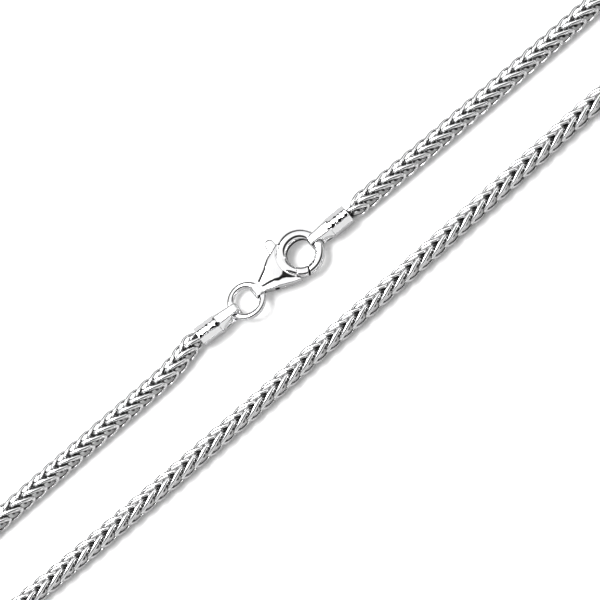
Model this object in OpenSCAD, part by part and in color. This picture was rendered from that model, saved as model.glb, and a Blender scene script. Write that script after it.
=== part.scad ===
// Foxtail chain necklace with a lobster clasp, closed and lying on a flat surface.
// Millimetres, +Z up. The origin is on the surface under the middle of the whole loop.
// +X runs along the two strands, +Y points to the strand that the clasp closes.

/* [Chain] */
// Diameter of the woven chain
chain_d = 2.5; // [2.3:0.1:2.7]
// Diameter of the chain's ends, pinched to go into the end caps
chain_end_d = 1.9; // [1.5:0.1:1.9]

/* [End caps] */
// Diameter of the cup that holds the chain's end
cup_d = 2.75; // [2.6:0.05:2.8]
// Length of the cup
cup_len = 2.75; // [2.4:0.05:3]
// Diameter of the cup's bore
cup_bore_d = 2.12; // [2.1:0.02:2.2]
// Depth of the cup's bore
cup_bore_depth = 2.0; // [1.9:0.1:2.1]
// Length of the whole cap, from the cup's mouth to the end of its bail
cap_len = 6.15; // [6.1:0.05:6.3]
// Height of the bail, across its two straps
bail_h = 2.2; // [2.15:0.05:2.3]
// Width of the bail at the cup and at its free end
bail_w = [2.1, 0.95];
// Thickness of the strap round the bail's free end
strap_t = 0.22; // [0.2:0.02:0.24]
// Length and height of the slot through the bail
slot_size = [1.5, 1.7];
// Roll of both caps about their own length
cap_roll = 11; // [5:1:12]

/* [Jump ring] */
// Radius of the ring at the middle of its wire
ring_r = 1.88; // [1.85:0.01:1.9]
// Diameter of the ring's wire
ring_wire_d = 0.82; // [0.7:0.02:0.84]

/* [Clasp] */
// Radius of the clasp's round head at the middle of its rim
head_r = 2.31; // [2.29:0.01:2.33]
// Diameter of the rim's round section
rim_d = 1.24; // [1.1:0.02:1.26]
// Thickness of the body at its belly
belly_t = 2.9; // [2.7:0.05:2.9]
// Thickness of the slot that the lever works in
lever_slot_t = 1.2; // [1.15:0.05:1.3]
// Thickness of the lever
lever_t = 0.95; // [0.8:0.05:1]
// Diameter of the lever's gate
gate_d = 1.1; // [1:0.02:1.1]
// Diameter of the pivot pin
pin_d = 0.6; // [0.5:0.05:0.6]

/* [Hidden] */
silver = [0.86, 0.86, 0.87];
silver_dark = [0.74, 0.74, 0.76];
eps = 0.01;

// Heights of the middle of each piece above the surface
strand_z = chain_d / 2;
cap_z = 1.4;
ring_z = 1.4;
clasp_z = belly_t / 2 + eps;

// Places of the pieces: [x, y] and the turn about Z
cap_left_mouth = [-11.98, 5.68];
cap_left_turn = -5;
cap_right_mouth = [11.1, 5.15];
cap_right_turn = 177.7;
ring_pos = [-4.87, 5.27];
clasp_pos = [3.69, 5.27];
clasp_turn = -3.5;

// Route of the chain's centre line, [x, y], from the left cap round to the right cap
start_run = [[-13.7, 5.6], [-16, 5.1], [-18.5, 4.85], [-24, 4.85], [-33, 4.9], [-42, 4.9], [-50, 4.9]];
end_flare = [[58, 5], [65, 5.6], [71, 7.1], [76, 9.3], [82, 12.1], [89, 14], [96, 12.1], [101.1, 7]];
end_tip = [103, 0];
lower_run = [[-50, -4.7], [-42, -4.9], [-33, -5.05], [-23, -5.12], [-12, -5.1], [0, -5], [12, -4.9],
             [22, -4.75], [32, -4.55], [41, -4.35], [50, -4.4]];
finish_run = [[50, 4.8], [42, 4.75], [33, 4.8], [24, 4.9], [18, 5], [15, 5.1], [12.9, 5.15]];
ring_gap = 5.6;
tube_sides = 8;

function flip(points, sx, sy) = [for (p = points) [sx * p.x, sy * p.y]];
function backwards(points) = [for (i = [len(points) - 1:-1:0]) points[i]];
function lifted(points, z) = [for (p = points) [p.x, p.y, z]];
function polar(r, a) = [r * cos(a), r * sin(a)];

// Points on a cap's axis, a given distance in from its mouth
function cap_axis(mouth, turn, depth) = [mouth.x + depth * cos(turn), mouth.y + depth * sin(turn), cap_z];
slot_corner_r = 0.35;
chain_ins = cup_bore_depth - 0.2;
mouth_out = 0.5;

right_end = concat(flip(end_flare, 1, -1), [end_tip], backwards(end_flare));
left_end = flip(right_end, -1, -1);
route = concat(
    [cap_axis(cap_left_mouth, cap_left_turn, chain_ins), cap_axis(cap_left_mouth, cap_left_turn, -mouth_out)],
    lifted(concat(start_run, left_end, lower_run, right_end, finish_run), strand_z),
    [cap_axis(cap_right_mouth, cap_right_turn, -mouth_out), cap_axis(cap_right_mouth, cap_right_turn, chain_ins)]
);

// Smooth curve through the route's points, a tube ring about every ring_gap
function curve(a, b, c, d, t) =
    0.5 * (2 * b + (c - a) * t + (2 * a - 5 * b + 4 * c - d) * t * t + (3 * b - a - 3 * c + d) * t * t * t);
function slope(a, b, c, d, t) =
    0.5 * ((c - a) + 2 * (2 * a - 5 * b + 4 * c - d) * t + 3 * (3 * b - a - 3 * c + d) * t * t);
last = len(route) - 1;
function at(i) = route[min(max(i, 0), last)];
function steps(i) = max(1, round(norm(at(i + 1) - at(i)) / ring_gap));
stations = [
    for (i = [0:last - 1], k = [0:steps(i) - 1])
        let (t = k / steps(i))
            [curve(at(i - 1), at(i), at(i + 1), at(i + 2), t), slope(at(i - 1), at(i), at(i + 1), at(i + 2), t)],
    [at(last), at(last) - at(last - 1)]
];

// Ring of corners round one station, with a flat side down
function tube_ring(station, r) =
    let (
        along = station[1] / norm(station[1]),
        side = cross([0, 0, 1], along) / norm(cross([0, 0, 1], along)),
        up = cross(along, side),
        corner_r = r / cos(180 / tube_sides)
    )
    [for (k = [0:tube_sides - 1])
        let (a = (k + 0.5) * 360 / tube_sides)
            station[0] + corner_r * (side * cos(a) + up * sin(a))];

module chain() {
    count = len(stations);
    pinched = 2;
    corners = [
        for (i = [0:count - 1])
            let (r = (i < pinched || i >= count - pinched) ? chain_end_d / 2 : chain_d / 2)
                for (p = tube_ring(stations[i], r)) p
    ];
    walls = [
        for (i = [0:count - 2], k = [0:tube_sides - 1])
            let (n = (k + 1) % tube_sides, low = i * tube_sides, high = low + tube_sides)
                [low + k, high + k, high + n, low + n]
    ];
    first_end = [for (k = [0:tube_sides - 1]) k];
    last_end = [for (k = [tube_sides - 1:-1:0]) (count - 1) * tube_sides + k];
    color(silver_dark) polyhedron(points = corners, faces = concat(walls, [first_end, last_end]), convexity = 10);
}

// End cap along +X: cup mouth at the origin, bail's straps above and below
module end_cap() {
    shoulder = cup_len + 0.75;
    round_r = slot_corner_r + strap_t;
    slot_x = cap_len - strap_t - slot_size.x / 2;
    difference() {
        union() {
            rotate([0, 90, 0]) cylinder(h = cup_len, d = cup_d, $fn = 48);
            intersection() {
                rotate([90, 0, 0]) linear_extrude(cup_d, center = true) side_outline(shoulder, round_r);
                linear_extrude(cup_d, center = true) plan_outline(shoulder);
                rotate([0, 90, 0]) cylinder(h = cap_len, d = cup_d, $fn = 48);
            }
        }
        translate([-eps, 0, 0]) rotate([0, 90, 0]) cylinder(h = cup_bore_depth + eps, d = cup_bore_d, $fn = 48);
        translate([slot_x, 0, 0]) rotate([90, 0, 0]) linear_extrude(cup_d, center = true) slot_outline();
    }
}

// Slot with rounded corners
module slot_outline() {
    corner = slot_size / 2 - [slot_corner_r, slot_corner_r];
    square([slot_size.x, 2 * corner.y], center = true);
    square([2 * corner.x, slot_size.y], center = true);
    for (sx = [-1, 1], sy = [-1, 1])
        translate([sx * corner.x, sy * corner.y]) circle(r = slot_corner_r, $fn = 32);
}

// Height of the cap along its length: full cup, short slope, straps, rounded end
module side_outline(shoulder, round_r) {
    polygon([
        [cup_len - 0.5, -cup_d / 2], [cup_len, -cup_d / 2], [shoulder, -bail_h / 2],
        [cap_len - round_r, -bail_h / 2], [cap_len - round_r, bail_h / 2],
        [shoulder, bail_h / 2], [cup_len, cup_d / 2], [cup_len - 0.5, cup_d / 2]
    ]);
    for (s = [-1, 1])
        translate([cap_len - round_r, s * (bail_h / 2 - round_r)]) circle(r = round_r, $fn = 48);
    translate([cap_len - round_r, 0]) square([2 * round_r, bail_h - 2 * round_r], center = true);
}

// Width of the cap along its length: full cup, hollow shoulder, tapering bail
module plan_outline(shoulder) {
    polygon([
        [cup_len - 0.5, -cup_d / 2], [cup_len, -cup_d / 2], [shoulder, -bail_w[0] / 2],
        [cap_len, -bail_w[1] / 2], [cap_len, bail_w[1] / 2],
        [shoulder, bail_w[0] / 2], [cup_len, cup_d / 2], [cup_len - 0.5, cup_d / 2]
    ]);
}

module cap_left() {
    color(silver) translate([cap_left_mouth.x, cap_left_mouth.y, cap_z])
        rotate([0, 0, cap_left_turn]) rotate([-cap_roll, 0, 0]) end_cap();
}

module cap_right() {
    color(silver) translate([cap_right_mouth.x, cap_right_mouth.y, cap_z])
        rotate([0, 0, cap_right_turn]) rotate([cap_roll, 0, 0]) end_cap();
}

module jump_ring() {
    color(silver) translate([ring_pos.x, ring_pos.y, ring_z])
        rotate_extrude($fn = 96) translate([ring_r, 0]) circle(d = ring_wire_d, $fn = 32);
}

// The clasp's own frame: origin in the middle of its opening, +X to the hook's far side
pivot = [-2.89, -1.1];
hook_tip_angle = -97;
rim_root_angle = 222;
gate_angles = [224, 276];
seam_r = 3.13;
seam_gap = 0.08;
opening_r = head_r - rim_d / 2;
neck_x = -6.1;
neck_t = 1.7;
tail_pos = [-6.8, -0.38];
tail_w = 1.5;
tail_hole_r = 0.6;
tail_strap = 0.2;
bore_play = 0.06;
pin_len = 1.9;

module in_clasp_place() {
    translate([clasp_pos.x, clasp_pos.y, clasp_z]) rotate([0, 0, clasp_turn]) children();
}

module at_pivot(h, d) {
    translate([pivot.x, pivot.y, 0]) cylinder(h = h, d = d, center = true, $fn = 48);
}

// Part of the round rim between two angles
module rim_arc(from, to, d) {
    rotate([0, 0, from]) rotate_extrude(angle = to - from, $fn = 96)
        translate([head_r, 0]) circle(d = d, $fn = 32);
}

// Teardrop from the neck to the rim: its outline from above, as thick as its outline from the side
module clasp_blank() {
    belly_r = belly_t / 2;
    intersection() {
        linear_extrude(belly_t, center = true) polygon([
            [neck_x, 0.5], [-4.9, 1.1], [-3.5, 1.95], [-1.6, 2.7], polar(head_r, 105),
            polar(head_r, rim_root_angle), [-1.75, -2.75], [-2.9, -2.6], [-4.3, -2], [neck_x, -1.1]
        ]);
        rotate([90, 0, 0]) linear_extrude(4 * head_r, center = true) polygon([
            [neck_x, neck_t / 2], [-4.2, belly_r - 0.15], [-3.4, belly_r], [-2.7, belly_r],
            [-1.9, belly_r - 0.3], [-0.2, 0.7], [-0.2, -0.7], [-1.9, 0.3 - belly_r],
            [-2.7, -belly_r], [-3.4, -belly_r], [-4.2, 0.15 - belly_r], [neck_x, -neck_t / 2]
        ]);
        translate([neck_x - 1.5, -0.2, 0]) rotate([0, 90, 0]) cylinder(h = 9, r1 = 1, r2 = 4.6, $fn = 64);
    }
}

// Room in the body for the lever, from the gate's side to the thumb tab's
module lever_room() {
    linear_extrude(lever_slot_t, center = true) polygon([
        [-4.9, -3.8], [-0.9, -3.8], [-1.2, -0.25], [-2.1, -0.1], [-1.5, 2.5], [-1.2, 4.5],
        [-5.7, 4.5], [-4.7, 0.9], [-4.2, -0.9], [-4.9, -1.1]
    ]);
}

// Strap at the tail that the jump ring passes through along Y
module tail_loop() {
    outer_r = tail_hole_r + tail_strap;
    root = [0.8, 1.3, tail_w - 0.1];
    translate([tail_pos.x, tail_pos.y, 0]) rotate([90, 0, 0]) {
        cylinder(h = tail_w, r = outer_r, center = true, $fn = 48);
        translate([root.x, 0, 0]) cube(root, center = true);
    }
}

// The hook's tip ends on a circle round the pivot, so that the gate swings past it
module hook_tip_cut() {
    intersection() {
        at_pivot(belly_t, 2 * seam_r + seam_gap);
        translate([0, -head_r, 0]) cube([2, 2, belly_t], center = true);
    }
}

module clasp_body() {
    color(silver) in_clasp_place() difference() {
        union() {
            clasp_blank();
            rim_arc(hook_tip_angle, rim_root_angle, rim_d);
            tail_loop();
        }
        cylinder(h = 2 * belly_t, r = opening_r + eps, center = true, $fn = 96);
        lever_room();
        at_pivot(pin_len + 0.04, pin_d + 0.02);
        hook_tip_cut();
        translate([tail_pos.x, tail_pos.y, 0]) rotate([90, 0, 0])
            cylinder(h = 2 * tail_w, r = tail_hole_r, center = true, $fn = 48);
    }
}

// The lever turns about the pivot: gate on one side, thumb tab on the other
module clasp_lever() {
    tab_r = 0.62;
    hub_r = 0.85;
    tab = [-2.3, 3.23];
    gate_root = gate_angles[0] + 8;
    color(silver_dark) in_clasp_place() difference() {
        union() {
            at_pivot(lever_t, 2 * hub_r);
            linear_extrude(lever_t, center = true) polygon([
                [pivot.x - hub_r * 0.9, pivot.y + 0.3], [tab.x - tab_r, tab.y], [tab.x + tab_r, tab.y],
                [tab.x + tab_r, 2.6], [-2.3, 0.1], [pivot.x + hub_r * 0.8, pivot.y + 0.2]
            ]);
            translate([tab.x, tab.y, 0]) cylinder(h = lever_t, r = tab_r, center = true, $fn = 48);
            linear_extrude(lever_t - 0.1, center = true) polygon([
                [pivot.x, pivot.y + 0.7], polar(head_r - gate_d / 3, gate_root),
                polar(head_r + gate_d / 3, gate_root), [pivot.x, pivot.y - 0.7]
            ]);
            intersection() {
                rim_arc(gate_angles[0], gate_angles[1], gate_d);
                at_pivot(belly_t, 2 * seam_r - seam_gap);
            }
        }
        at_pivot(2 * lever_t, pin_d + 2 * bore_play);
    }
}

module pivot_pin() {
    color(silver) in_clasp_place() at_pivot(pin_len, pin_d);
}

chain();
cap_left();
cap_right();
jump_ring();
clasp_body();
clasp_lever();
pivot_pin();
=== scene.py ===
"""Looks of a foxtail chain necklace: woven wire links, crimped end caps, jump ring and lobster clasp.

Shapes are worked out in millimetres and turned into metres when a mesh is made.
"""
import math

import bpy
import numpy as np
from mathutils import Matrix, Vector, kdtree


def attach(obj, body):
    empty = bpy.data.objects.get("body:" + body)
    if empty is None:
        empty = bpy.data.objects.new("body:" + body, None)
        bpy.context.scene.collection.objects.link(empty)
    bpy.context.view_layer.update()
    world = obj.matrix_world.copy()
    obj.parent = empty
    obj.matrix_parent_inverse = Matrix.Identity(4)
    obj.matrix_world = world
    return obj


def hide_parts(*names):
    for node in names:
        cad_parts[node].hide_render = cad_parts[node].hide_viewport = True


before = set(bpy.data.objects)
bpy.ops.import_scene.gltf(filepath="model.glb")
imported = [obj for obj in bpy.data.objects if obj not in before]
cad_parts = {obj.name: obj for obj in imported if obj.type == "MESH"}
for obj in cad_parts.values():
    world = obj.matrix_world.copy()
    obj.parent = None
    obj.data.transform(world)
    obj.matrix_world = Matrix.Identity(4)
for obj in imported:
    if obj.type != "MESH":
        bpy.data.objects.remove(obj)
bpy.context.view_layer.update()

MM = 0.001
CAMERA_ELEVATION = 75.0


def turn(points, degrees, axis):
    """Points turned about X, Y or Z (axis 0, 1 or 2)."""
    c, s = math.cos(math.radians(degrees)), math.sin(math.radians(degrees))
    i, j = (axis + 1) % 3, (axis + 2) % 3
    out = np.array(points, float)
    a, b = out[..., i].copy(), out[..., j].copy()
    out[..., i] = a * c - b * s
    out[..., j] = a * s + b * c
    return out


def polar(radius, degrees):
    """The point at a distance and an angle from the origin, as x and y."""
    return [radius * math.cos(math.radians(degrees)), radius * math.sin(math.radians(degrees))]


def unit(v):
    """Vectors brought to length 1."""
    return v / np.maximum(np.linalg.norm(v, axis=-1, keepdims=True), 1e-12)


def grey(value):
    """A colour with the same red, green and blue."""
    return (value, value, value, 1)


def bump_at(angle, height, centre, width):
    """A smooth bump over an angle, 0 far from its centre."""
    return height * np.exp(-((angle - centre) / width) ** 2)


def add_mesh(name, points_mm, faces, material, body, replaced, unshaded=None):
    """A smooth-shaded piece from points in millimetres. The optional last value per point is how much is left
    unshaded: 0 where shade is painted on fully, in recesses, and 1 where none is.
    """
    mesh = bpy.data.meshes.new(name)
    mesh.from_pydata((np.asarray(points_mm) * MM).tolist(), [], np.asarray(faces).tolist())
    mesh.polygons.foreach_set("use_smooth", [True] * len(mesh.polygons))
    mesh.materials.append(material)
    if unshaded is not None:
        # per-point share left unshaded, which the material reads to paint shade
        layer = mesh.color_attributes.new("unshaded", "FLOAT_COLOR", "POINT")
        layer.data.foreach_set("color", np.stack([unshaded, unshaded, unshaded, np.ones_like(unshaded)], -1).reshape(-1))
    mesh.update()
    obj = bpy.data.objects.new(name, mesh)
    bpy.context.scene.collection.objects.link(obj)
    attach(obj, body)
    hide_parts(replaced)


def colour_mix(nodes, links, factor, first, second):
    """Mix of two colours by a factor. Each is another node's output or a fixed colour, a tuple."""
    mix = nodes.new("ShaderNodeMix")
    mix.data_type = "RGBA"
    factor_in, first_in, second_in, colour_out = mix.inputs[0], mix.inputs[6], mix.inputs[7], mix.outputs[2]
    links.new(factor, factor_in)
    for socket, colour in ((first_in, first), (second_in, second)):
        if isinstance(colour, tuple):
            socket.default_value = colour
        else:
            links.new(colour, socket)
    return colour_out


def metal(name, colour, roughness, spread, scale, ripple_strength, ripple_height, shade_grey=None):
    """Polished silver: faint uneven polish and a fine ripple. The optional last grey is painted shade, laid in
    place of the silver where a piece's per-point value is low.
    """
    mat = bpy.data.materials.new(name)
    mat.use_nodes = True
    nodes, links = mat.node_tree.nodes, mat.node_tree.links
    shader = nodes["Principled BSDF"]
    shader.inputs["Metallic"].default_value = 1.0
    place = nodes.new("ShaderNodeTexCoord")
    cloud = nodes.new("ShaderNodeTexNoise")
    cloud.inputs["Scale"].default_value = scale
    cloud.inputs["Detail"].default_value = 3.0
    links.new(place.outputs["Object"], cloud.inputs["Vector"])
    polish = nodes.new("ShaderNodeMapRange")
    polish.inputs["To Min"].default_value = roughness - spread
    polish.inputs["To Max"].default_value = roughness + spread
    links.new(cloud.outputs["Fac"], polish.inputs["Value"])
    links.new(polish.outputs["Result"], shader.inputs["Roughness"])
    tone = nodes.new("ShaderNodeValToRGB")
    tone.color_ramp.elements[0].position = 0.3
    tone.color_ramp.elements[0].color = (*[c * CLOUD_SHADE for c in colour], 1)
    tone.color_ramp.elements[1].position = 0.7
    tone.color_ramp.elements[1].color = (*colour, 1)
    links.new(cloud.outputs["Fac"], tone.inputs["Fac"])
    surface = tone.outputs["Color"]
    # painted shade: the grey is mixed in where the per-point value is low
    if shade_grey is not None:
        shade_paint = nodes.new("ShaderNodeVertexColor")
        shade_paint.layer_name = "unshaded"
        surface = colour_mix(nodes, links, shade_paint.outputs["Color"], grey(shade_grey), surface)
    links.new(surface, shader.inputs["Base Color"])
    ripple = nodes.new("ShaderNodeTexNoise")
    ripple.inputs["Scale"].default_value = scale * 3
    ripple.inputs["Detail"].default_value = 2.0
    links.new(place.outputs["Object"], ripple.inputs["Vector"])
    lift = nodes.new("ShaderNodeBump")
    lift.inputs["Strength"].default_value = ripple_strength
    lift.inputs["Distance"].default_value = ripple_height
    links.new(ripple.outputs["Fac"], lift.inputs["Height"])
    links.new(lift.outputs["Normal"], shader.inputs["Normal"])
    return mat


WIRE_COLOUR, FITTING_COLOUR = (0.95, 0.95, 0.955), (0.93, 0.93, 0.935)
# How dark the cloudy parts of the polish are beside the rest
CLOUD_SHADE = 0.95
CAST_FINISH = {"roughness": 0.1, "spread": 0.04, "scale": 500, "ripple_strength": 0.1, "ripple_height": 0.00002}
# wire_silver, clasp_silver and pressed_silver paint shade into recesses with their last grey
wire_silver = metal("wire_silver", WIRE_COLOUR, roughness=0.16, spread=0.05, scale=900,
                    ripple_strength=0.15, ripple_height=0.00002, shade_grey=0.24)
cast_silver = metal("cast_silver", FITTING_COLOUR, **CAST_FINISH)
clasp_silver = metal("clasp_silver", FITTING_COLOUR, **CAST_FINISH, shade_grey=0.05)
pressed_silver = metal("pressed_silver", FITTING_COLOUR, roughness=0.16, spread=0.05, scale=700,
                       ripple_strength=0.1, ripple_height=0.00003, shade_grey=0.03)

# Route of the chain, in mm: the middle of its two strands and of its rounded ends, seen from above
CHAIN_Z, CAP_Z = 1.25, 1.4
# End caps: middle of the mouth, directions in degrees, side the seam is on, and the pits in the seam, each
# its place along the cup and its size
CAP_LEFT = {"mouth": (-11.98, 5.68), "turn": -5.0, "roll": -11.0,
            "seam_side": 1, "pits": [(0.35, 0.2), (2.0, 0.14), (2.75, 0.28)]}
CAP_RIGHT = {"mouth": (11.1, 5.15), "turn": 177.7, "roll": 11.0,
             "seam_side": -1, "pits": [(0.35, 0.2), (1.3, 0.2), (2.3, 0.22)]}
START_RUN = [(-13.7, 5.6), (-16, 5.1), (-18.5, 4.85), (-24, 4.85), (-33, 4.9), (-42, 4.9), (-50, 4.9)]
END_FLARE = [(58, 5), (65, 5.6), (71, 7.1), (76, 9.3), (82, 12.1), (89, 14), (96, 12.1), (101.1, 7)]
END_TIP = (103, 0)
LOWER_RUN = [(-50, -4.7), (-42, -4.9), (-33, -5.05), (-23, -5.12), (-12, -5.1), (0, -5), (12, -4.9),
             (22, -4.75), (32, -4.55), (41, -4.35), (50, -4.4)]
FINISH_RUN = [(50, 4.8), (42, 4.75), (33, 4.8), (24, 4.9), (18, 5), (15, 5.1), (12.9, 5.15)]
# Depths in an end cap where the chain ends and where it's on its own again
CHAIN_STOP, CHAIN_FREE = 1.8, -0.5
ROUTE_STEPS = 40


def cap_axis(cap, depth):
    """A point on the middle line of an end cap, by its depth from the mouth."""
    dx, dy = polar(depth, cap["turn"])
    return (cap["mouth"][0] + dx, cap["mouth"][1] + dy, CAP_Z)


def route_points():
    """Points of the chain's middle line, from the left cap round the whole loop to the right cap."""
    right = [(x, -y) for x, y in END_FLARE] + [END_TIP] + END_FLARE[::-1]
    left = [(-x, -y) for x, y in right]
    flat = START_RUN + left + LOWER_RUN + right + FINISH_RUN
    return np.array([cap_axis(CAP_LEFT, CHAIN_STOP), cap_axis(CAP_LEFT, CHAIN_FREE)]
                    + [(x, y, CHAIN_Z) for x, y in flat]
                    + [cap_axis(CAP_RIGHT, CHAIN_FREE), cap_axis(CAP_RIGHT, CHAIN_STOP)])


def catmull(p, steps, closed):
    """Smooth curve through points (first axis), the same curve as the CAD model's chain follows."""
    n = len(p)
    spans = n if closed else n - 1
    pick = (lambda i: p[i % n]) if closed else (lambda i: p[min(max(i, 0), n - 1)])
    t = (np.arange(steps) / steps).reshape((-1,) + (1,) * (p.ndim - 1))
    out = []
    for i in range(spans):
        a, b, c, d = pick(i - 1), pick(i), pick(i + 1), pick(i + 2)
        out.append(0.5 * (2 * b + (c - a) * t + (2 * a - 5 * b + 4 * c - d) * t ** 2
                          + (3 * b - a - 3 * c + d) * t ** 3))
    return np.concatenate(out + ([] if closed else [p[-1:]]))


class Route:
    """The chain's centre line by distance along it, with the directions across and up."""

    def __init__(self):
        self.points = catmull(route_points(), ROUTE_STEPS, False)
        steps = np.linalg.norm(np.diff(self.points, axis=0), axis=1)
        self.run = np.concatenate([[0], np.cumsum(steps)])
        self.length = self.run[-1]

    def at(self, s):
        """Points at distances s from the start."""
        return np.stack([np.interp(s, self.run, self.points[:, i]) for i in range(3)], -1)

    def directions(self, s):
        """Directions along, across and up at distances s, evened out over a short reach."""
        reach = 0.6
        along = unit(self.at(np.minimum(s + reach, self.length)) - self.at(np.maximum(s - reach, 0)))
        side = unit(np.cross([0.0, 0.0, 1.0], along))
        up = np.cross(along, side)
        return along, side, up


route = Route()

# Half the width of the wires, out of the weave and along it, and the number of sides they're drawn with
WIRE_R, WIRE_SIDES = (0.18, 0.26), 12
RING_WIRE_R, RING_WIRE_SIDES = (0.16, 0.16), 8
UPPER_PITCH, LOWER_PITCH = 1.88, 2.07
# How far the weave is rolled to the far side, in degrees, where it runs towards -X and towards +X
LINK_LEAN = (19.0, 10.0)
# How far the second row is behind the first, in pitches, and the room left at the chain's end
ROW_SHIFT, END_ROOM = 0.56, 0.2
# One oval of the weave: across, up and back along the chain, in mm at the upper strands' pitch
OVAL = np.array([
    (0.12, 0.44, 0.00), (0.12, 0.82, 0.10), (0.22, 1.00, 0.42), (0.48, 1.04, 0.95), (0.72, 0.96, 1.50),
    (0.88, 0.74, 2.00), (0.90, 0.42, 2.50), (0.88, 0.02, 2.72), (0.88, -0.36, 2.50), (0.86, -0.66, 2.00),
    (0.80, -0.82, 1.50), (0.66, -0.84, 0.95), (0.46, -0.76, 0.45), (0.24, -0.45, 0.10), (0.13, 0.00, -0.03),
])
OVAL_STEPS = 3
CENTRE_RING = {"across": 0.45, "up": 0.6, "lean": 0.3, "back": 0.75, "points": 20}
# Distances from the chain's middle within which shade is painted on the wire fully, and beyond which none is
SHADED_WITHIN, UNSHADED_BEYOND = 0.6, 1.05
# Heights over the floor between which the painted shade thins out, and the share left unshaded at each
SHADE_HEIGHTS, UNSHADED_THERE = [0.35, 1.0], [0.3, 1.0]
# Distance from the chain's ends within which the weave is gathered up, and how much of its way it keeps
GATHERED, KEPT = 0.3, 0.1
# Size of the weave inside the caps, and where, from the chain's ends, it starts and stops growing
PINCHED, PINCH_START, PINCH_STOP = 0.66, 1.7, 3.1
# Pieces of the weave, each from one share of the chain's length to another
STRETCHES = {"links_left_end": (0, 0.27), "links_lower": (0.27, 0.5), "links_right_end": (0.5, 0.77),
             "links_right": (0.77, 1.01)}


def pitch_at(s):
    """Pitch of the weave: the lower strand is drawn out a little longer than the upper ones."""
    middle, half, soft = route.length / 2, 55.0, 15.0
    blend = 1 / (1 + np.exp((np.abs(s - middle) - half) / (soft / 4)))
    return UPPER_PITCH + (LOWER_PITCH - UPPER_PITCH) * blend


def link_stations():
    """Distances along the chain at which a link starts, one pitch apart."""
    samples = 20001
    s = np.linspace(0, route.length, samples)
    count = np.concatenate([[0], np.cumsum(np.diff(s) / pitch_at((s[1:] + s[:-1]) / 2))])
    return np.interp(np.arange(1, count[-1] - END_ROOM), count, s)


def swept_loops(loops, radii, sides, thin=None):
    """Tubes along closed loops of points, an array of loop, point, xyz.

    thin is the direction in which the wire is as thick as the first radius; without it that is outwards.
    """
    n_loops, n_points, _ = loops.shape
    ahead, behind = np.roll(loops, -1, 1), np.roll(loops, 1, 1)
    along = unit(ahead - behind)
    if thin is None:
        middle = loops.mean(1, keepdims=True)
        normal = unit(np.cross(loops - middle, ahead - middle).sum(1, keepdims=True))
        out = unit(np.cross(along, np.broadcast_to(normal, along.shape)))
    else:
        out = unit(thin - (thin * along).sum(-1, keepdims=True) * along)
    over = np.cross(along, out)
    angle = (np.arange(sides) * 2 * math.pi / sides)[:, None]
    ring = radii[0] * out[:, :, None] * np.cos(angle) + radii[1] * over[:, :, None] * np.sin(angle)
    points = (loops[:, :, None] + ring).reshape(-1, 3)
    loop, point, side = np.indices((n_loops, n_points, sides))

    def index(p, k):
        """Number of the vertex at point p of each loop and side k of the wire."""
        return ((loop * n_points + p % n_points) * sides + k % sides).reshape(-1)

    quads = np.stack([index(point, side), index(point, side + 1), index(point + 1, side + 1),
                      index(point + 1, side)], -1)
    return points, quads


def placed(shape, stations, shift):
    """Copies of a loop (across, up, back) laid along the chain, pinched where they enter the caps."""
    rate = pitch_at(stations)[:, None] / UPPER_PITCH
    s = stations[:, None] - (shape[None, :, 2] + shift) * rate
    held = np.clip(s, GATHERED, route.length - GATHERED)
    s = held + KEPT * (s - held)
    centre = route.at(s)
    along, side, up = route.directions(s)
    lean = np.radians(np.interp(along[..., :1], [-1, 1], [-LINK_LEAN[0], LINK_LEAN[1]]))
    high = up * np.cos(lean) + side * np.sin(lean)
    wide = side * np.cos(lean) - up * np.sin(lean)
    size = np.interp(np.minimum(s, route.length - s), [PINCH_START, PINCH_STOP], [PINCHED, 1])[..., None]
    outward = wide * shape[None, :, :1] + high * shape[None, :, 1:2]
    return centre + size * outward, outward


def weave():
    """The chain's links: two rows of ovals, mirrored, and a small ring in the middle of each step."""
    stations = link_stations()
    oval = catmull(OVAL, OVAL_STEPS, True)
    flipped = oval * [-1, 1, 1]
    a = np.linspace(0, 2 * math.pi, CENTRE_RING["points"], endpoint=False)
    ring = np.stack([CENTRE_RING["across"] * np.cos(a), CENTRE_RING["up"] * np.sin(a),
                     CENTRE_RING["lean"] * np.sin(a) + CENTRE_RING["back"]], -1)
    row = ROW_SHIFT * UPPER_PITCH
    for name, (low, high) in STRETCHES.items():
        here = stations[(stations >= low * route.length) & (stations < high * route.length)]
        points, faces, base = [], [], 0
        for shape, shift, radii, sides in ((oval, 0, WIRE_R, WIRE_SIDES), (flipped, row, WIRE_R, WIRE_SIDES),
                                           (ring, 0, RING_WIRE_R, RING_WIRE_SIDES),
                                           (ring, row, RING_WIRE_R, RING_WIRE_SIDES)):
            loops, outward = placed(shape, here, shift)
            p, f = swept_loops(loops, radii, sides, None if shape is ring else outward)
            points.append(p)
            faces.append(f + base)
            base += len(p)
        points = np.concatenate(points)
        # painted shade in the weave's middle and down by the floor
        add_mesh(name, points, np.concatenate(faces), wire_silver, "necklace", "chain",
                 weave_unshaded(points))


def weave_unshaded(points):
    """How much of each point of the weave is left unshaded: shade is painted on its middle and down by the
    floor it lies on.
    """
    tree = kdtree.KDTree(len(route.points))
    for i, p in enumerate(route.points):
        tree.insert(p, i)
    tree.balance()
    deep = np.array([tree.find(p)[2] for p in points])
    low = np.interp(points[:, 2], SHADE_HEIGHTS, UNSHADED_THERE)
    return np.clip((deep - SHADED_WITHIN) / (UNSHADED_BEYOND - SHADED_WITHIN), 0, 1) * low


# The fittings are worked out as distances to their surfaces, less than 0 inside
def smooth_max(a, b, k):
    """The larger of a and b, rounded off by k where they meet: what two forms have in common."""
    h = np.clip(0.5 + 0.5 * (a - b) / k, 0, 1)
    return b + (a - b) * h + k * h * (1 - h)


def smooth_min(a, b, k):
    """The smaller of a and b, rounded off by k where they meet: two forms joined."""
    return -smooth_max(-a, -b, k)


def softened(v, k):
    """The part of v over 0, rounded off at 0."""
    return 0.5 * (v + np.sqrt(v ** 2 + k ** 2))


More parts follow.
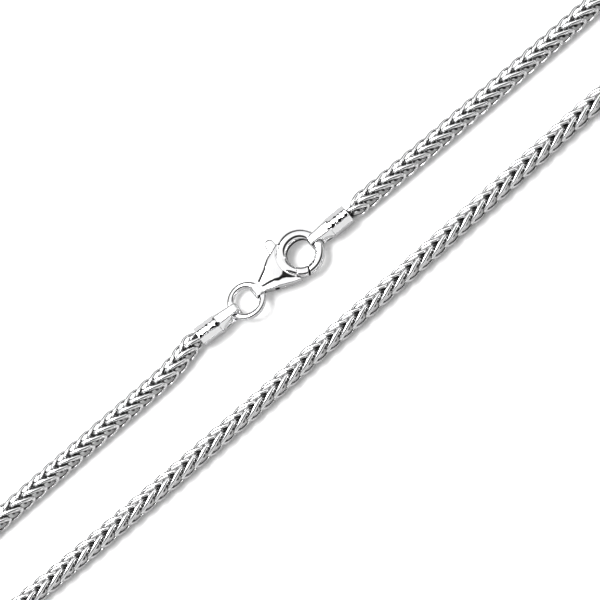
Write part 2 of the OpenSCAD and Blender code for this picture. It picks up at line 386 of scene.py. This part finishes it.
def polygon_distance(x, y, outline):
    """Signed distance to a closed outline, less than 0 inside."""
    outline = np.asarray(outline, float)
    best = np.full(x.shape, 1e9)
    inside = np.zeros(x.shape, bool)
    for (ax, ay), (bx, by) in zip(outline, np.roll(outline, -1, 0)):
        ex, ey = bx - ax, by - ay
        t = np.clip(((x - ax) * ex + (y - ay) * ey) / (ex * ex + ey * ey), 0, 1)
        best = np.minimum(best, np.hypot(x - ax - t * ex, y - ay - t * ey))
        crosses = (ay > y) != (by > y)
        inside ^= crosses & (x < ex * (y - ay) / (ey if ey else 1e-9) + ax)
    return np.where(inside, -best, best)


def skin(field, low, high, step):
    """Quads over the zero surface of a field, one vertex in each cell that it crosses."""
    axes = [np.arange(low[i], high[i] + step, step) for i in range(3)]
    grid = np.meshgrid(*axes, indexing="ij")
    value = field(*grid)
    shape = tuple(n - 1 for n in value.shape)
    total = np.zeros(shape + (3,))
    count = np.zeros(shape)
    crossings = []
    for axis in range(3):
        near = [slice(None)] * 3
        far = [slice(None)] * 3
        near[axis], far[axis] = slice(0, -1), slice(1, None)
        a, b = value[tuple(near)], value[tuple(far)]
        hit = (a < 0) != (b < 0)
        crossings.append((hit, a < 0))
        share = np.where(hit, a / np.where(hit, a - b, 1), 0)
        p, q = [i for i in range(3) if i != axis]
        for dp in (0, 1):
            for dq in (0, 1):
                cut = [slice(None)] * 3
                cut[p] = slice(dp, dp + shape[p])
                cut[q] = slice(dq, dq + shape[q])
                cut = tuple(cut)
                part = hit[cut]
                count += part
                total[..., axis] += np.where(part, share[cut], 0)
                total[..., p] += part * dp
                total[..., q] += part * dq
    # one vertex in each cell crossed, at the mean of its crossings
    used = count > 0
    number = np.full(shape, -1)
    number[used] = np.arange(used.sum())
    cell = np.argwhere(used)
    points = np.array(low) + step * (cell + total[used] / count[used][:, None])
    # one quad round each grid edge crossed, facing outwards
    quads = []
    for axis, (hit, inward) in enumerate(crossings):
        p, q = (axis + 1) % 3, (axis + 2) % 3
        where = np.argwhere(hit)
        keep = (where[:, [p, q]] > 0) & (where[:, [p, q]] < [shape[p], shape[q]])
        where = where[keep.all(1)]
        corners = []
        for dp, dq in ((1, 1), (0, 1), (0, 0), (1, 0)):
            c = where.copy()
            c[:, p] -= dp
            c[:, q] -= dq
            corners.append(number[tuple(c.T)])
        quad = np.stack(corners, -1)
        flip = ~inward[tuple(where.T)]
        quad[flip] = quad[flip][:, ::-1]
        quads.append(quad)
    for _ in range(ONTO_TIMES):
        points = onto(field, points, step * ONTO_REACH)
    return points, np.concatenate(quads)


# How many times points are moved onto a surface, and the reach they use, in grid steps
ONTO_TIMES, ONTO_REACH = 3, 0.2


def onto(field, points, reach):
    """Points moved onto the field's zero surface, at most twice the reach."""
    f = field(*points.T)
    slope = np.stack([(field(*(points + d).T) - field(*(points - d).T)) / (2 * reach)
                      for d in np.eye(3) * reach], -1)
    steep = np.maximum((slope ** 2).sum(-1), 0.05)
    move = -(f / steep)[:, None] * slope
    size = np.linalg.norm(move, axis=1, keepdims=True)
    return points + move * np.minimum(1, 2 * reach / np.maximum(size, 1e-9))


# End caps, each with its mouth at the origin and +X to its bail
CUP_LEN, CAP_LEN, CUP_R = 2.75, 5.95, 1.375
BORE_DEPTH, CUP_WALL = 2.0, 0.17
BAIL_H, BAIL_W = 2.2, (2.1, 0.95)
STRAP_T = 0.16
SLOT_W, SLOT_H, SLOT_CORNER = 1.36, 1.7, 0.35
SHOULDER = CUP_LEN + 0.75
# How far inside the cup the bail's outline starts, and where the bail itself does
BAIL_OVERLAP, BAIL_START = 0.5, 2.6
CAP_GRID, CAP_ROOM = 0.055, 0.15
# Flats of the crimped cup: which way each faces, in degrees from the viewer to the far side, and its distance
CUP_FLATS = [(61, 1.13), (18, 1.22), (-25, 1.2), (-72, 1.2), (-130, 1.2), (170, 1.18), (112, 1.25)]
# Dents along the cup's far edge, each its place along the cup and its depth, and the radius of the dents
DENTS, DENT_R = [(0.45, 0.12), (1.05, 0.09), (1.6, 0.13), (2.3, 0.1)], 0.46
SEAM_ANGLE = math.radians(26.0)
# Half the width of the cup's seam, the distance from the axis that it's cut to, and where it starts and stops
CUP_SEAM = {"half": 0.075, "floor": 1.1, "start": 0.25, "stop": 3.1}
SEAM_FADE = 0.05


def seam_frame(y, z, seam_side):
    """Distances out towards the seam and across it, to the far side."""
    c, s = math.cos(SEAM_ANGLE), math.sin(SEAM_ANGLE) * seam_side
    return z * c - y * s, (z * s + y * c) * seam_side


def seam_groove(x, out, across, pits):
    """The cup's open seam, with small pits along it."""
    wander = 0.05 * np.sin(x * 7.0) + 0.03 * np.sin(x * 17.0 + 1.0)
    groove = np.hypot(across - wander, np.maximum(CUP_SEAM["floor"] - out, 0)) - CUP_SEAM["half"]
    groove = np.maximum(groove, np.maximum(CUP_SEAM["start"] - x, x - CUP_SEAM["stop"]))
    for pit_x, size in pits:
        pit = np.sqrt((x - pit_x) ** 2 + (across - 0.04) ** 2 + (out - 1.3) ** 2) - size
        groove = np.minimum(groove, pit)
    return groove


def bail_outline(at_shoulder, at_end):
    """Closed outline of the bail, from half its width at the shoulder and at its end."""
    half = [(CUP_LEN - BAIL_OVERLAP, CUP_R), (CUP_LEN, CUP_R), (SHOULDER, at_shoulder), (CAP_LEN, at_end)]
    return [(x, -z) for x, z in half] + half[::-1]


def end_cap(seam_side, pits):
    """Crimped cup with a bail, its seam towards the viewer."""
    round_r = SLOT_CORNER + STRAP_T
    slot_x = CAP_LEN - STRAP_T - SLOT_W / 2
    height = bail_outline(BAIL_H / 2, BAIL_H / 2)
    width = bail_outline(BAIL_W[0] / 2, BAIL_W[1] / 2)

    def field(x, y, z):
        """Distance to the cap's surface."""
        # cup: flats pressed round it, with one edge towards the viewer, and dents along its far edge
        out, across = seam_frame(y, z, seam_side)
        squeeze = 0.03 * np.cos(x * 2 * math.pi / 0.9) ** 2 + 0.02 * np.sin(x * 3.1 + 1) ** 2
        cup = bore = np.full(x.shape, -9.0)
        for facing, reach in CUP_FLATS:
            side = out * math.cos(math.radians(facing)) + across * math.sin(math.radians(facing)) - reach
            cup = smooth_max(cup, side + (squeeze if facing > 0 else 0), 0.1)
            bore = np.maximum(bore, side + CUP_WALL)
        for dent_x, depth in DENTS:
            ball = np.sqrt((x - dent_x) ** 2 + (out - 1.4) ** 2 + (across - 1.1) ** 2)
            cup = smooth_max(cup, DENT_R + depth - ball, 0.08)
        cup = smooth_max(cup, np.maximum(-x, x - CUP_LEN - 0.05), 0.12)
        cup = smooth_max(cup, -np.maximum(bore, x - BORE_DEPTH), 0.06)
        # bail: two straps from the shoulder round the wire
        bail = np.maximum(polygon_distance(x, z, height), polygon_distance(x, y, width))
        end = np.hypot(np.maximum(x - CAP_LEN + round_r, 0), np.maximum(np.abs(z) - BAIL_H / 2 + round_r, 0))
        bail = smooth_max(bail, end - round_r, 0.08)
        bevel = np.abs(y) * 0.8 + np.abs(z) * 0.6 - np.interp(x, [SHOULDER, CAP_LEN], [1.12, 1.0])
        bail = smooth_max(bail, bevel, 0.1)
        bail = smooth_max(bail, BAIL_START - x, 0.1)
        slot = np.hypot(np.maximum(np.abs(x - slot_x) - SLOT_W / 2 + SLOT_CORNER, 0),
                        np.maximum(np.abs(z) - SLOT_H / 2 + SLOT_CORNER, 0)) - SLOT_CORNER
        bail = smooth_max(bail, -slot, 0.08)
        # hollow cheeks between the two straps on the shoulder's sides
        cheek = np.sqrt(((x - 4.0) / 1.0) ** 2 + ((np.abs(y) - 1.2) / 0.6) ** 2 + (z / 0.62) ** 2) - 1
        bail = smooth_max(bail, -0.5 * cheek, 0.06)
        whole = smooth_min(cup, bail, 0.12)
        return smooth_max(whole, -seam_groove(x, out, across, pits), 0.04)

    half = 1.55
    return skin(field, (-CAP_ROOM, -half, -half), (CAP_LEN + CAP_ROOM, half, half), CAP_GRID)


def put_cap(name, cap, node):
    """An end cap in its place, with shade painted into its seam."""
    points, faces = end_cap(cap["seam_side"], cap["pits"])
    out, across = seam_frame(points[:, 1], points[:, 2], cap["seam_side"])
    groove = seam_groove(points[:, 0], out, across, cap["pits"])
    # painted shade in the seam groove, fading out at its edges
    unshaded = np.where(out > 0, np.clip(groove / SEAM_FADE, 0, 1), 1)
    points = turn(turn(points, cap["roll"], 0), cap["turn"], 2) + [*cap["mouth"], CAP_Z]
    add_mesh(name, points, faces, pressed_silver, "necklace", node, unshaded)


# Jump ring: its middle, the radius of its centre line, its wire's width and its lean in degrees
RING_POS, RING_Z, RING_R, RING_D, RING_LEAN = (-4.87, 5.27), 1.4, 2.03, 0.86, 12.0
RING_STEPS, RING_SIDES = 96, 28


def put_ring():
    """The jump ring, leaning on the bail and the clasp's tail that it goes through."""
    a = np.linspace(0, 2 * math.pi, RING_STEPS, endpoint=False)
    flat = np.stack([RING_R * np.cos(a), RING_R * np.sin(a), np.zeros(a.shape)], -1)
    loop = turn(flat, -RING_LEAN, 0) + [*RING_POS, RING_Z]
    points, faces = swept_loops(loop[None], (RING_D / 2, RING_D / 2), RING_SIDES)
    add_mesh("ring_wire", points, faces, cast_silver, "necklace", "jump_ring")


# Clasp, in its own frame: origin in the middle of its opening, +X to the hook
CLASP_POS, CLASP_Z, CLASP_TURN = (3.69, 5.27), 1.46, -3.5
PIVOT = (-2.89, -1.1)
PIN_R, PIN_HALF, PIN_BORE = 0.3, 0.72, 0.36
# Radius of the head's centre line and of its wire, and the angles in degrees where the wire stops
HEAD_R, RIM_R = 2.31, 0.62
HOOK_TIP, RIM_ROOT = -97.0, 222.0
# Where the rim is taller, by what share, and where it's thicker, by how much: amount, angle and width
RIM_TALL, RIM_THICK = (0.38, 192, 46), (0.19, 95, 42)
GATE_START, GATE_STOP, GATE_R, GATE_SQUARENESS = 224.0, 276.0, 0.6, 2.6
# Distance from the pin of the seam between gate and hook, and its gap in the lower and the upper half
SEAM_R, SEAM_GAP = 2.82, (0.04, 0.17)
# Distance from the pin where the gate leaves the body, and the gap there
JOINT_R, JOINT_GAP = 1.37, 0.08
OPENING_R = HEAD_R - RIM_R
# Width of the slot between the cheeks, thickness of the lever, and width of the groove in the clasp's side
LEVER_SLOT, LEVER_T, GROOVE = 0.9, 0.8, 0.26
# Small square hole in the side, in the groove's line: its middle, and half its width and height
POCKET_X, POCKET_HALF = -4.72, (0.21, 0.4)
NECK_X = -6.1
TAIL, TAIL_HOLE, TAIL_STRAP, TAIL_W = (-6.63, -0.38), 0.66, 0.16, 1.5
# Line where the top turns down to the viewer's side, and the line below it where the steep part starts
CREASE = [(-6.3, -0.36), (-5.0, -0.58), (-4.4, -0.72), (-3.5, -0.98), (-3.2, -0.95), (-2.8, -0.5)]
LEDGE = [(-6.3, -0.42), (-5.0, -0.66), (-4.4, -0.87), (-3.56, -1.2), (-3.07, -1.43), (-2.58, -1.76),
         (-2.2, -1.95)]
# Line beyond which the top falls away to the far side
RIDGE = [(NECK_X, -0.25), (-4.9, 0.33), (-3.5, 1.16), (-1.6, 1.93)]
PLAN = [(NECK_X, 0.5), (-4.9, 1.1), (-3.5, 1.95), (-1.6, 2.7), polar(HEAD_R, 105), polar(HEAD_R, RIM_ROOT),
        (-1.75, -2.72), (-2.62, -2.5), (-3.5, -2.17), (-4.38, -1.82), (-5.35, -1.45), (NECK_X, -1.1)]
# Half the body's height along it: at its top, and at the viewer's side
TOP = [(-7.0, 0.72), (NECK_X, 0.85), (-4.2, 1.3), (-3.4, 1.45), (-2.7, 1.45), (-1.9, 1.2), (-0.2, 0.7)]
FLANK = [(NECK_X, 0.75), (-4.4, 1.12), (-3.5, 0.97), (-2.9, 0.8), (-2.3, 0.63)]
# Outline of the room for the lever between the cheeks
LEVER_ROOM = [(-4.9, -3.8), (-0.9, -3.8), (-1.2, -0.25), (-2.1, -0.1), (-1.5, 2.5), (-1.2, 4.5),
              (-5.7, 4.5), (-4.7, 0.9), (-4.2, -0.9), (-4.9, -1.1)]
# Two corners of the box that each piece of the clasp is worked out in, and the step of its grid
PIN_BOX = (PIVOT[0] - 0.4, PIVOT[1] - 0.4, -0.85), (PIVOT[0] + 0.4, PIVOT[1] + 0.4, 0.85), 0.06
CASTING_BOX = (-7.75, -3.1, -1.6), (3.15, 3.25, 1.6), 0.06
GATE_BOX = (-3.95, -3.1, -0.9), (0.95, 4.0, 0.9), 0.055


def rim(x, y, z, start, stop, radius, squareness=2.0):
    """Wire along part of the clasp's head, with rounded ends, taller where it joins the body."""
    angle = np.degrees(np.arctan2(y, x))
    angle = start + np.mod(angle - start, 360)
    past = angle > stop
    nearer_start = past & (angle - stop > start + 360 - angle)
    held = np.where(past, np.where(nearer_start, start, stop), angle)
    rad = np.radians(held)
    thick = radius(held) if callable(radius) else radius
    cx, cy = HEAD_R * np.cos(rad), HEAD_R * np.sin(rad)
    flat = 1 - bump_at(held, *RIM_TALL)
    away = np.hypot(x - cx, y - cy)
    return (away ** squareness + np.abs(z * flat) ** squareness) ** (1 / squareness) - thick


def seam_gap(z):
    """Gap between gate and hook, wider in its upper half."""
    return np.interp(z, [-0.1, 0.05], SEAM_GAP)


def pin_distance(x, y):
    """Distance from the middle of the lever's pin, as seen from above."""
    return np.hypot(x - PIVOT[0], y - PIVOT[1])


def line_at(x, line):
    """Value at x of a line given by its points."""
    return np.interp(x, *zip(*line))


def clasp_field(x, y, z):
    """The cast body: tail loop, two cheeks, rim and hook."""
    radius, from_pin = np.hypot(x, y), pin_distance(x, y)
    # top: it rises from a valley along the rim, and is turned down at the viewer's side and the far side
    rise = 0.7 + 0.48 * (radius - 2.85) - 3.0 * np.maximum(2.78 - radius, 0)
    top = smooth_min(line_at(x, TOP), rise, 0.3)
    below_ledge = line_at(x, LEDGE) - y
    shaded = softened(line_at(x, CREASE) - y, 0.12)
    dropped = softened(below_ledge, 0.12)
    beyond = np.clip(y - line_at(x, RIDGE), 0, None)
    side = line_at(x, FLANK) - 0.08 * dropped
    side += 0.47 * np.clip(-below_ledge, 0, 1) * np.clip((x + 3.6) / 0.4, 0, 1)
    fall = smooth_max(top - 0.5 * shaded - 0.1 * dropped, np.minimum(side, top), 0.06)
    roof = np.abs(z) - (fall - 0.6 * beyond ** 2)
    blank = smooth_max(polygon_distance(x, y, PLAN), roof * 0.8, 0.17)
    # neck: a cone that narrows to the tail, and the opening's edge
    cone = np.hypot(y + 0.2, z) - (1.0 + 0.4 * (x + 7.6))
    blank = smooth_max(blank, cone * 0.94, 0.2)
    blank = smooth_max(blank, NECK_X - 0.25 - x, 0.1)
    blank = smooth_max(blank, OPENING_R + 0.01 - radius, 0.04)
    head = rim(x, y, z, HOOK_TIP, RIM_ROOT, lambda a: RIM_R + bump_at(a, *RIM_THICK))
    whole = smooth_min(blank, head, 0.05)
    # tail: a loop of flat strap round the ring, with a solid root
    loop = np.hypot(x - TAIL[0], z)
    across = np.abs(y - TAIL[1])
    strap = smooth_max(loop - TAIL_HOLE - TAIL_STRAP, across - TAIL_W / 2, 0.12)
    root = np.maximum(np.maximum(np.abs(x - TAIL[0] - 0.8) - 0.45, np.abs(z) - 0.68), across - 0.68)
    whole = smooth_min(whole, smooth_min(strap, root, 0.1), 0.12)
    hole = np.maximum(loop - TAIL_HOLE, across - TAIL_W)
    whole = smooth_max(whole, -hole, 0.05)
    # room for the lever: the slot between the cheeks, with the groove and the pocket in the side
    outside = np.minimum(-(y + 2.02 + 0.28 * (x - PIVOT[0])), radius - 3.0)
    room = np.minimum(np.maximum(np.abs(z) - LEVER_SLOT / 2, outside), np.abs(z) - GROOVE / 2)
    pocket = np.maximum(np.abs(x - POCKET_X) - POCKET_HALF[0], np.abs(z) - POCKET_HALF[1])
    room = np.maximum(np.minimum(room, pocket), polygon_distance(x, y, LEVER_ROOM))
    room = np.maximum(room, np.minimum(1.95 - radius, y + 0.2))
    whole = smooth_max(whole, -room, 0.05)
    # room for the gate, from its joint to the seam, and the gap at the hook's tip
    swept = np.maximum(np.maximum(JOINT_R - JOINT_GAP / 2 - from_pin, from_pin - SEAM_R), np.abs(z) - 0.86)
    swept = np.maximum(swept, np.maximum(radius - 2.96, y + 0.45))
    whole = smooth_max(whole, -swept, 0.04)
    tip = np.maximum(from_pin - SEAM_R - seam_gap(z) / 2,
                     np.maximum(np.abs(x) - 1.2, np.abs(y + HEAD_R) - 1.2))
    return smooth_max(whole, -tip, 0.05)


def lever_field(x, y, z):
    """Gate, hub and thumb tab in one piece."""
    hub_r, tab_r, tab = 0.85, 0.62, (-2.3, 3.23)
    half = LEVER_T / 2
    from_pin = pin_distance(x, y)
    hub = from_pin - hub_r
    plate = polygon_distance(x, y, [
        (PIVOT[0] - hub_r * 0.9, PIVOT[1] + 0.3), (tab[0] - tab_r, tab[1]), (tab[0] + tab_r, tab[1]),
        (tab[0] + tab_r, 2.6), (-2.3, 0.1), (PIVOT[0] + hub_r * 0.8, PIVOT[1] + 0.2)])
    thumb = np.hypot(x - tab[0], y - tab[1]) - tab_r
    flat = smooth_max(np.minimum(np.minimum(hub, plate), thumb), np.abs(z) - half, 0.4)
    arm = polygon_distance(x, y, [
        (PIVOT[0], PIVOT[1] + 0.7), polar(HEAD_R - 0.37, 232), polar(HEAD_R + 0.37, 232),
        (PIVOT[0], PIVOT[1] - 0.7)])
    arm = smooth_max(arm, np.abs(z) - half + 0.05, 0.16)
    gate = rim(x, y, z, GATE_START, GATE_STOP, GATE_R, GATE_SQUARENESS)
    gate = smooth_max(gate, from_pin - SEAM_R + seam_gap(z) / 2, 0.05)
    gate = smooth_max(gate, JOINT_R + JOINT_GAP / 2 - from_pin, 0.04)
    whole = smooth_min(smooth_min(flat, arm, 0.05), gate, 0.05)
    return np.maximum(whole, PIN_BORE - from_pin)


def pin_field(x, y, z):
    """The lever's pin, shut in between the two cheeks."""
    return smooth_max(pin_distance(x, y) - PIN_R, np.abs(z) - PIN_HALF, 0.05)


# Corner between the turned-down side and the rim, where a dark reflection is painted on
CORNER = [(-3.75, -1.0), (-3.25, -0.88), (-2.95, -0.55), (-2.6, -0.6), (-2.5, -1.3), (-2.0, -2.0),
          (-2.3, -1.95), (-2.65, -1.74), (-3.05, -1.43), (-3.65, -1.24)]
# Distances over which the painted shade of the seam, the groove and the pocket, and the painted dark reflection
# of the wall and of the corner fade
SEAM_EDGE, WALL_EDGE, CORNER_EDGE = 0.03, 0.05, 0.14


def clasp_unshaded(points):
    """Painted shade in the casting's seam, groove, pocket and the crevice along the rim, and painted dark
    reflections in the corner by the rim and on the opening's far wall.
    """
    x, y, z = points.T
    radius = np.hypot(x, y)
    seam = np.abs(pin_distance(x, y) - SEAM_R) - SEAM_GAP[1] / 2
    seam = np.where((y < -OPENING_R + 0.1) & (np.abs(x) < 1.2), seam, 1) / SEAM_EDGE
    groove = np.maximum(polygon_distance(x, y, LEVER_ROOM), np.abs(z) - GROOVE / 2) / SEAM_EDGE + 1
    pocket = np.maximum(np.abs(x - POCKET_X) - POCKET_HALF[0] - 0.03, np.abs(z) - POCKET_HALF[1] - 0.02)
    pocket = np.maximum(pocket, y + 1.0) / SEAM_EDGE
    # painted dark reflection on the opening's far wall
    wall = np.maximum(radius - 1.7, np.abs(z - 0.06) - 0.27) / WALL_EDGE
    wall = np.where(y > 0.3, wall, 1)
    # painted dark reflection in the corner by the rim
    corner = np.maximum(polygon_distance(x, y, CORNER), (HEAD_R + 0.6 - radius) * 2) / CORNER_EDGE + 0.35
    # painted shade in the crevice along the rim's outer edge
    crevice = np.where(x < -0.9, 0.75 + 0.25 * np.abs(radius - HEAD_R - 0.68) / 0.08, 1)
    return np.clip(np.minimum.reduce([seam, groove, pocket, wall, corner, crevice]), 0, 1)


def gate_unshaded(points):
    """Painted shade on the gate's end, in the seam."""
    x, y, _ = points.T
    inside = (SEAM_R - SEAM_GAP[1] / 2 - pin_distance(x, y)) / SEAM_EDGE
    return np.where(y < 0, np.clip(inside, 0, 1), 1)


def put_clasp_piece(name, field, box, material, body, node, unshaded_at=None):
    """One piece of the clasp, from its field in a box, with shade painted on where a function for it is given.
    """
    points, faces = skin(field, *box)
    unshaded = unshaded_at(points) if unshaded_at else None
    points = turn(points, CLASP_TURN, 2) + [*CLASP_POS, CLASP_Z]
    add_mesh(name, points, faces, material, body, node, unshaded)


def put_clasp():
    """Pin, casting and gate. Only the gate moves with the lever."""
    put_clasp_piece("clasp_pin", pin_field, PIN_BOX, cast_silver, "necklace", "pivot_pin")
    # the casting and the gate get painted shade and painted dark reflections
    put_clasp_piece("clasp_casting", clasp_field, CASTING_BOX, clasp_silver, "necklace", "clasp_body",
                    clasp_unshaded)
    put_clasp_piece("clasp_gate", lever_field, GATE_BOX, clasp_silver, "lever", "clasp_lever", gate_unshaded)


# Floor: half its width in metres, its own light, its shades to the eye and its shade in reflections
FLOOR_HALF, FLOOR_GLOW, FLOOR_SHADES, FLOOR_REFLECTED = 1.6, 0.17, (0.93, 0.95), 0.4


def put_floor():
    """White surface, with less light in reflections, so that the silver has dark lines."""
    corners = [(x * FLOOR_HALF, y * FLOOR_HALF, 0) for x, y in ((-1, -1), (1, -1), (1, 1), (-1, 1))]
    mesh = bpy.data.meshes.new("floor")
    mesh.from_pydata(corners, [], [(0, 1, 2, 3)])
    obj = bpy.data.objects.new("floor", mesh)
    bpy.context.scene.collection.objects.link(obj)
    mat = bpy.data.materials.new("floor_white")
    mat.use_nodes = True
    nodes, links = mat.node_tree.nodes, mat.node_tree.links
    shader = nodes["Principled BSDF"]
    shader.inputs["Roughness"].default_value = 0.7
    shader.inputs["Specular IOR Level"].default_value = 0.1
    shader.inputs["Emission Color"].default_value = (1, 1, 1, 1)
    shader.inputs["Emission Strength"].default_value = FLOOR_GLOW
    noise = nodes.new("ShaderNodeTexNoise")
    noise.inputs["Scale"].default_value = 40
    tone = nodes.new("ShaderNodeValToRGB")
    for element, shade in zip(tone.color_ramp.elements, FLOOR_SHADES):
        element.color = grey(shade)
    links.new(noise.outputs["Fac"], tone.inputs["Fac"])
    path = nodes.new("ShaderNodeLightPath")
    seen = colour_mix(nodes, links, path.outputs["Is Glossy Ray"], tone.outputs["Color"], grey(FLOOR_REFLECTED))
    links.new(seen, shader.inputs["Base Color"])
    mesh.materials.append(mat)


# Brightness of the studio by angle, in degrees from the viewer over the necklace to the far side
SKY = [(-180, 0.1), (-76, 0.1), (-70, 0.15), (-64, 1.0), (-42, 0.95), (-32, 0.04), (-10, 0.04), (-1, 0.5),
       (4, 1.2), (66, 1.05), (77, 0.3), (84, 0.04), (180, 0.04)]
SKY_STRENGTH = 0.96


def put_sky():
    """Soft white studio over the necklace, with a dark band by the viewer and dark below it on both sides."""
    world = bpy.data.worlds.new("studio")
    bpy.context.scene.world = world
    world.use_nodes = True
    nodes, links = world.node_tree.nodes, world.node_tree.links
    back = nodes["Background"]
    place = nodes.new("ShaderNodeTexCoord")
    e = math.radians(CAMERA_ELEVATION)
    parts = []
    for direction in ((0, math.sin(e), math.cos(e)), (0, -math.cos(e), math.sin(e))):
        dot = nodes.new("ShaderNodeVectorMath")
        dot.operation = "DOT_PRODUCT"
        dot.inputs[1].default_value = direction
        links.new(place.outputs["Generated"], dot.inputs[0])
        parts.append(dot)
    angle = nodes.new("ShaderNodeMath")
    angle.operation = "ARCTAN2"
    links.new(parts[0].outputs["Value"], angle.inputs[0])
    links.new(parts[1].outputs["Value"], angle.inputs[1])
    spread = nodes.new("ShaderNodeMapRange")
    spread.inputs["From Min"].default_value = -math.pi
    spread.inputs["From Max"].default_value = math.pi
    links.new(angle.outputs["Value"], spread.inputs["Value"])
    ramp = nodes.new("ShaderNodeValToRGB")
    bar = ramp.color_ramp
    bar.elements[0].position = 0.0
    bar.elements[1].position = 1.0
    for degrees, _ in SKY[1:-1]:
        bar.elements.new((degrees + 180) / 360)
    for element, (_, value) in zip(sorted(bar.elements, key=lambda el: el.position), SKY):
        element.color = grey(value)
    links.new(spread.outputs["Result"], ramp.inputs["Fac"])
    links.new(ramp.outputs["Color"], back.inputs["Color"])
    back.inputs["Strength"].default_value = SKY_STRENGTH


# Soft light from the left of the far side, which casts the shadow: place and size in metres, power in watts
KEY_PLACE, KEY_SIZE, KEY_POWER = Vector((-0.2, 0.26, 0.5)), 0.35, 4.5


def put_key():
    """The soft light, turned to the necklace's middle."""
    light = bpy.data.lights.new("key", "AREA")
    light.energy = KEY_POWER
    light.size = KEY_SIZE
    obj = bpy.data.objects.new("key", light)
    obj.location = KEY_PLACE
    obj.rotation_mode = "QUATERNION"
    obj.rotation_quaternion = (-KEY_PLACE).to_track_quat("-Z", "Y")
    bpy.context.scene.collection.objects.link(obj)


def put_camera():
    """Turned about its line of sight, as the picture shows the necklace on the slant."""
    distance, field_mm, roll = 0.40, 71.4, math.radians(41.0)
    sensor_mm, middle_mm = 36, 1.41
    e = math.radians(CAMERA_ELEVATION)
    back = np.array([0, -math.cos(e), math.sin(e)])
    across, up = np.array([1.0, 0, 0]), np.array([0, math.sin(e), math.cos(e)])
    right = across * math.cos(roll) - up * math.sin(roll)
    top = across * math.sin(roll) + up * math.cos(roll)
    data = bpy.data.cameras.new("camera")
    data.type = "PERSP"
    data.sensor_width = sensor_mm
    data.lens = sensor_mm * distance / (field_mm * MM)
    data.clip_start, data.clip_end = 0.01, 10
    cam = bpy.data.objects.new("camera", data)
    centre = np.array([0, middle_mm * MM, 0])
    place = centre + back * distance
    cam.matrix_world = Matrix([[right[i], top[i], back[i], place[i]] for i in range(3)] + [[0, 0, 0, 1]])
    bpy.context.scene.collection.objects.link(cam)
    bpy.context.scene.camera = cam


put_camera()
put_floor()
put_sky()
put_key()
bpy.context.scene.view_settings.view_transform = "Standard"
bpy.context.scene.view_settings.gamma = 0.75
weave()
put_cap("end_cap_left", CAP_LEFT, "cap_left")
put_cap("end_cap_right", CAP_RIGHT, "cap_right")
put_ring()
put_clasp()
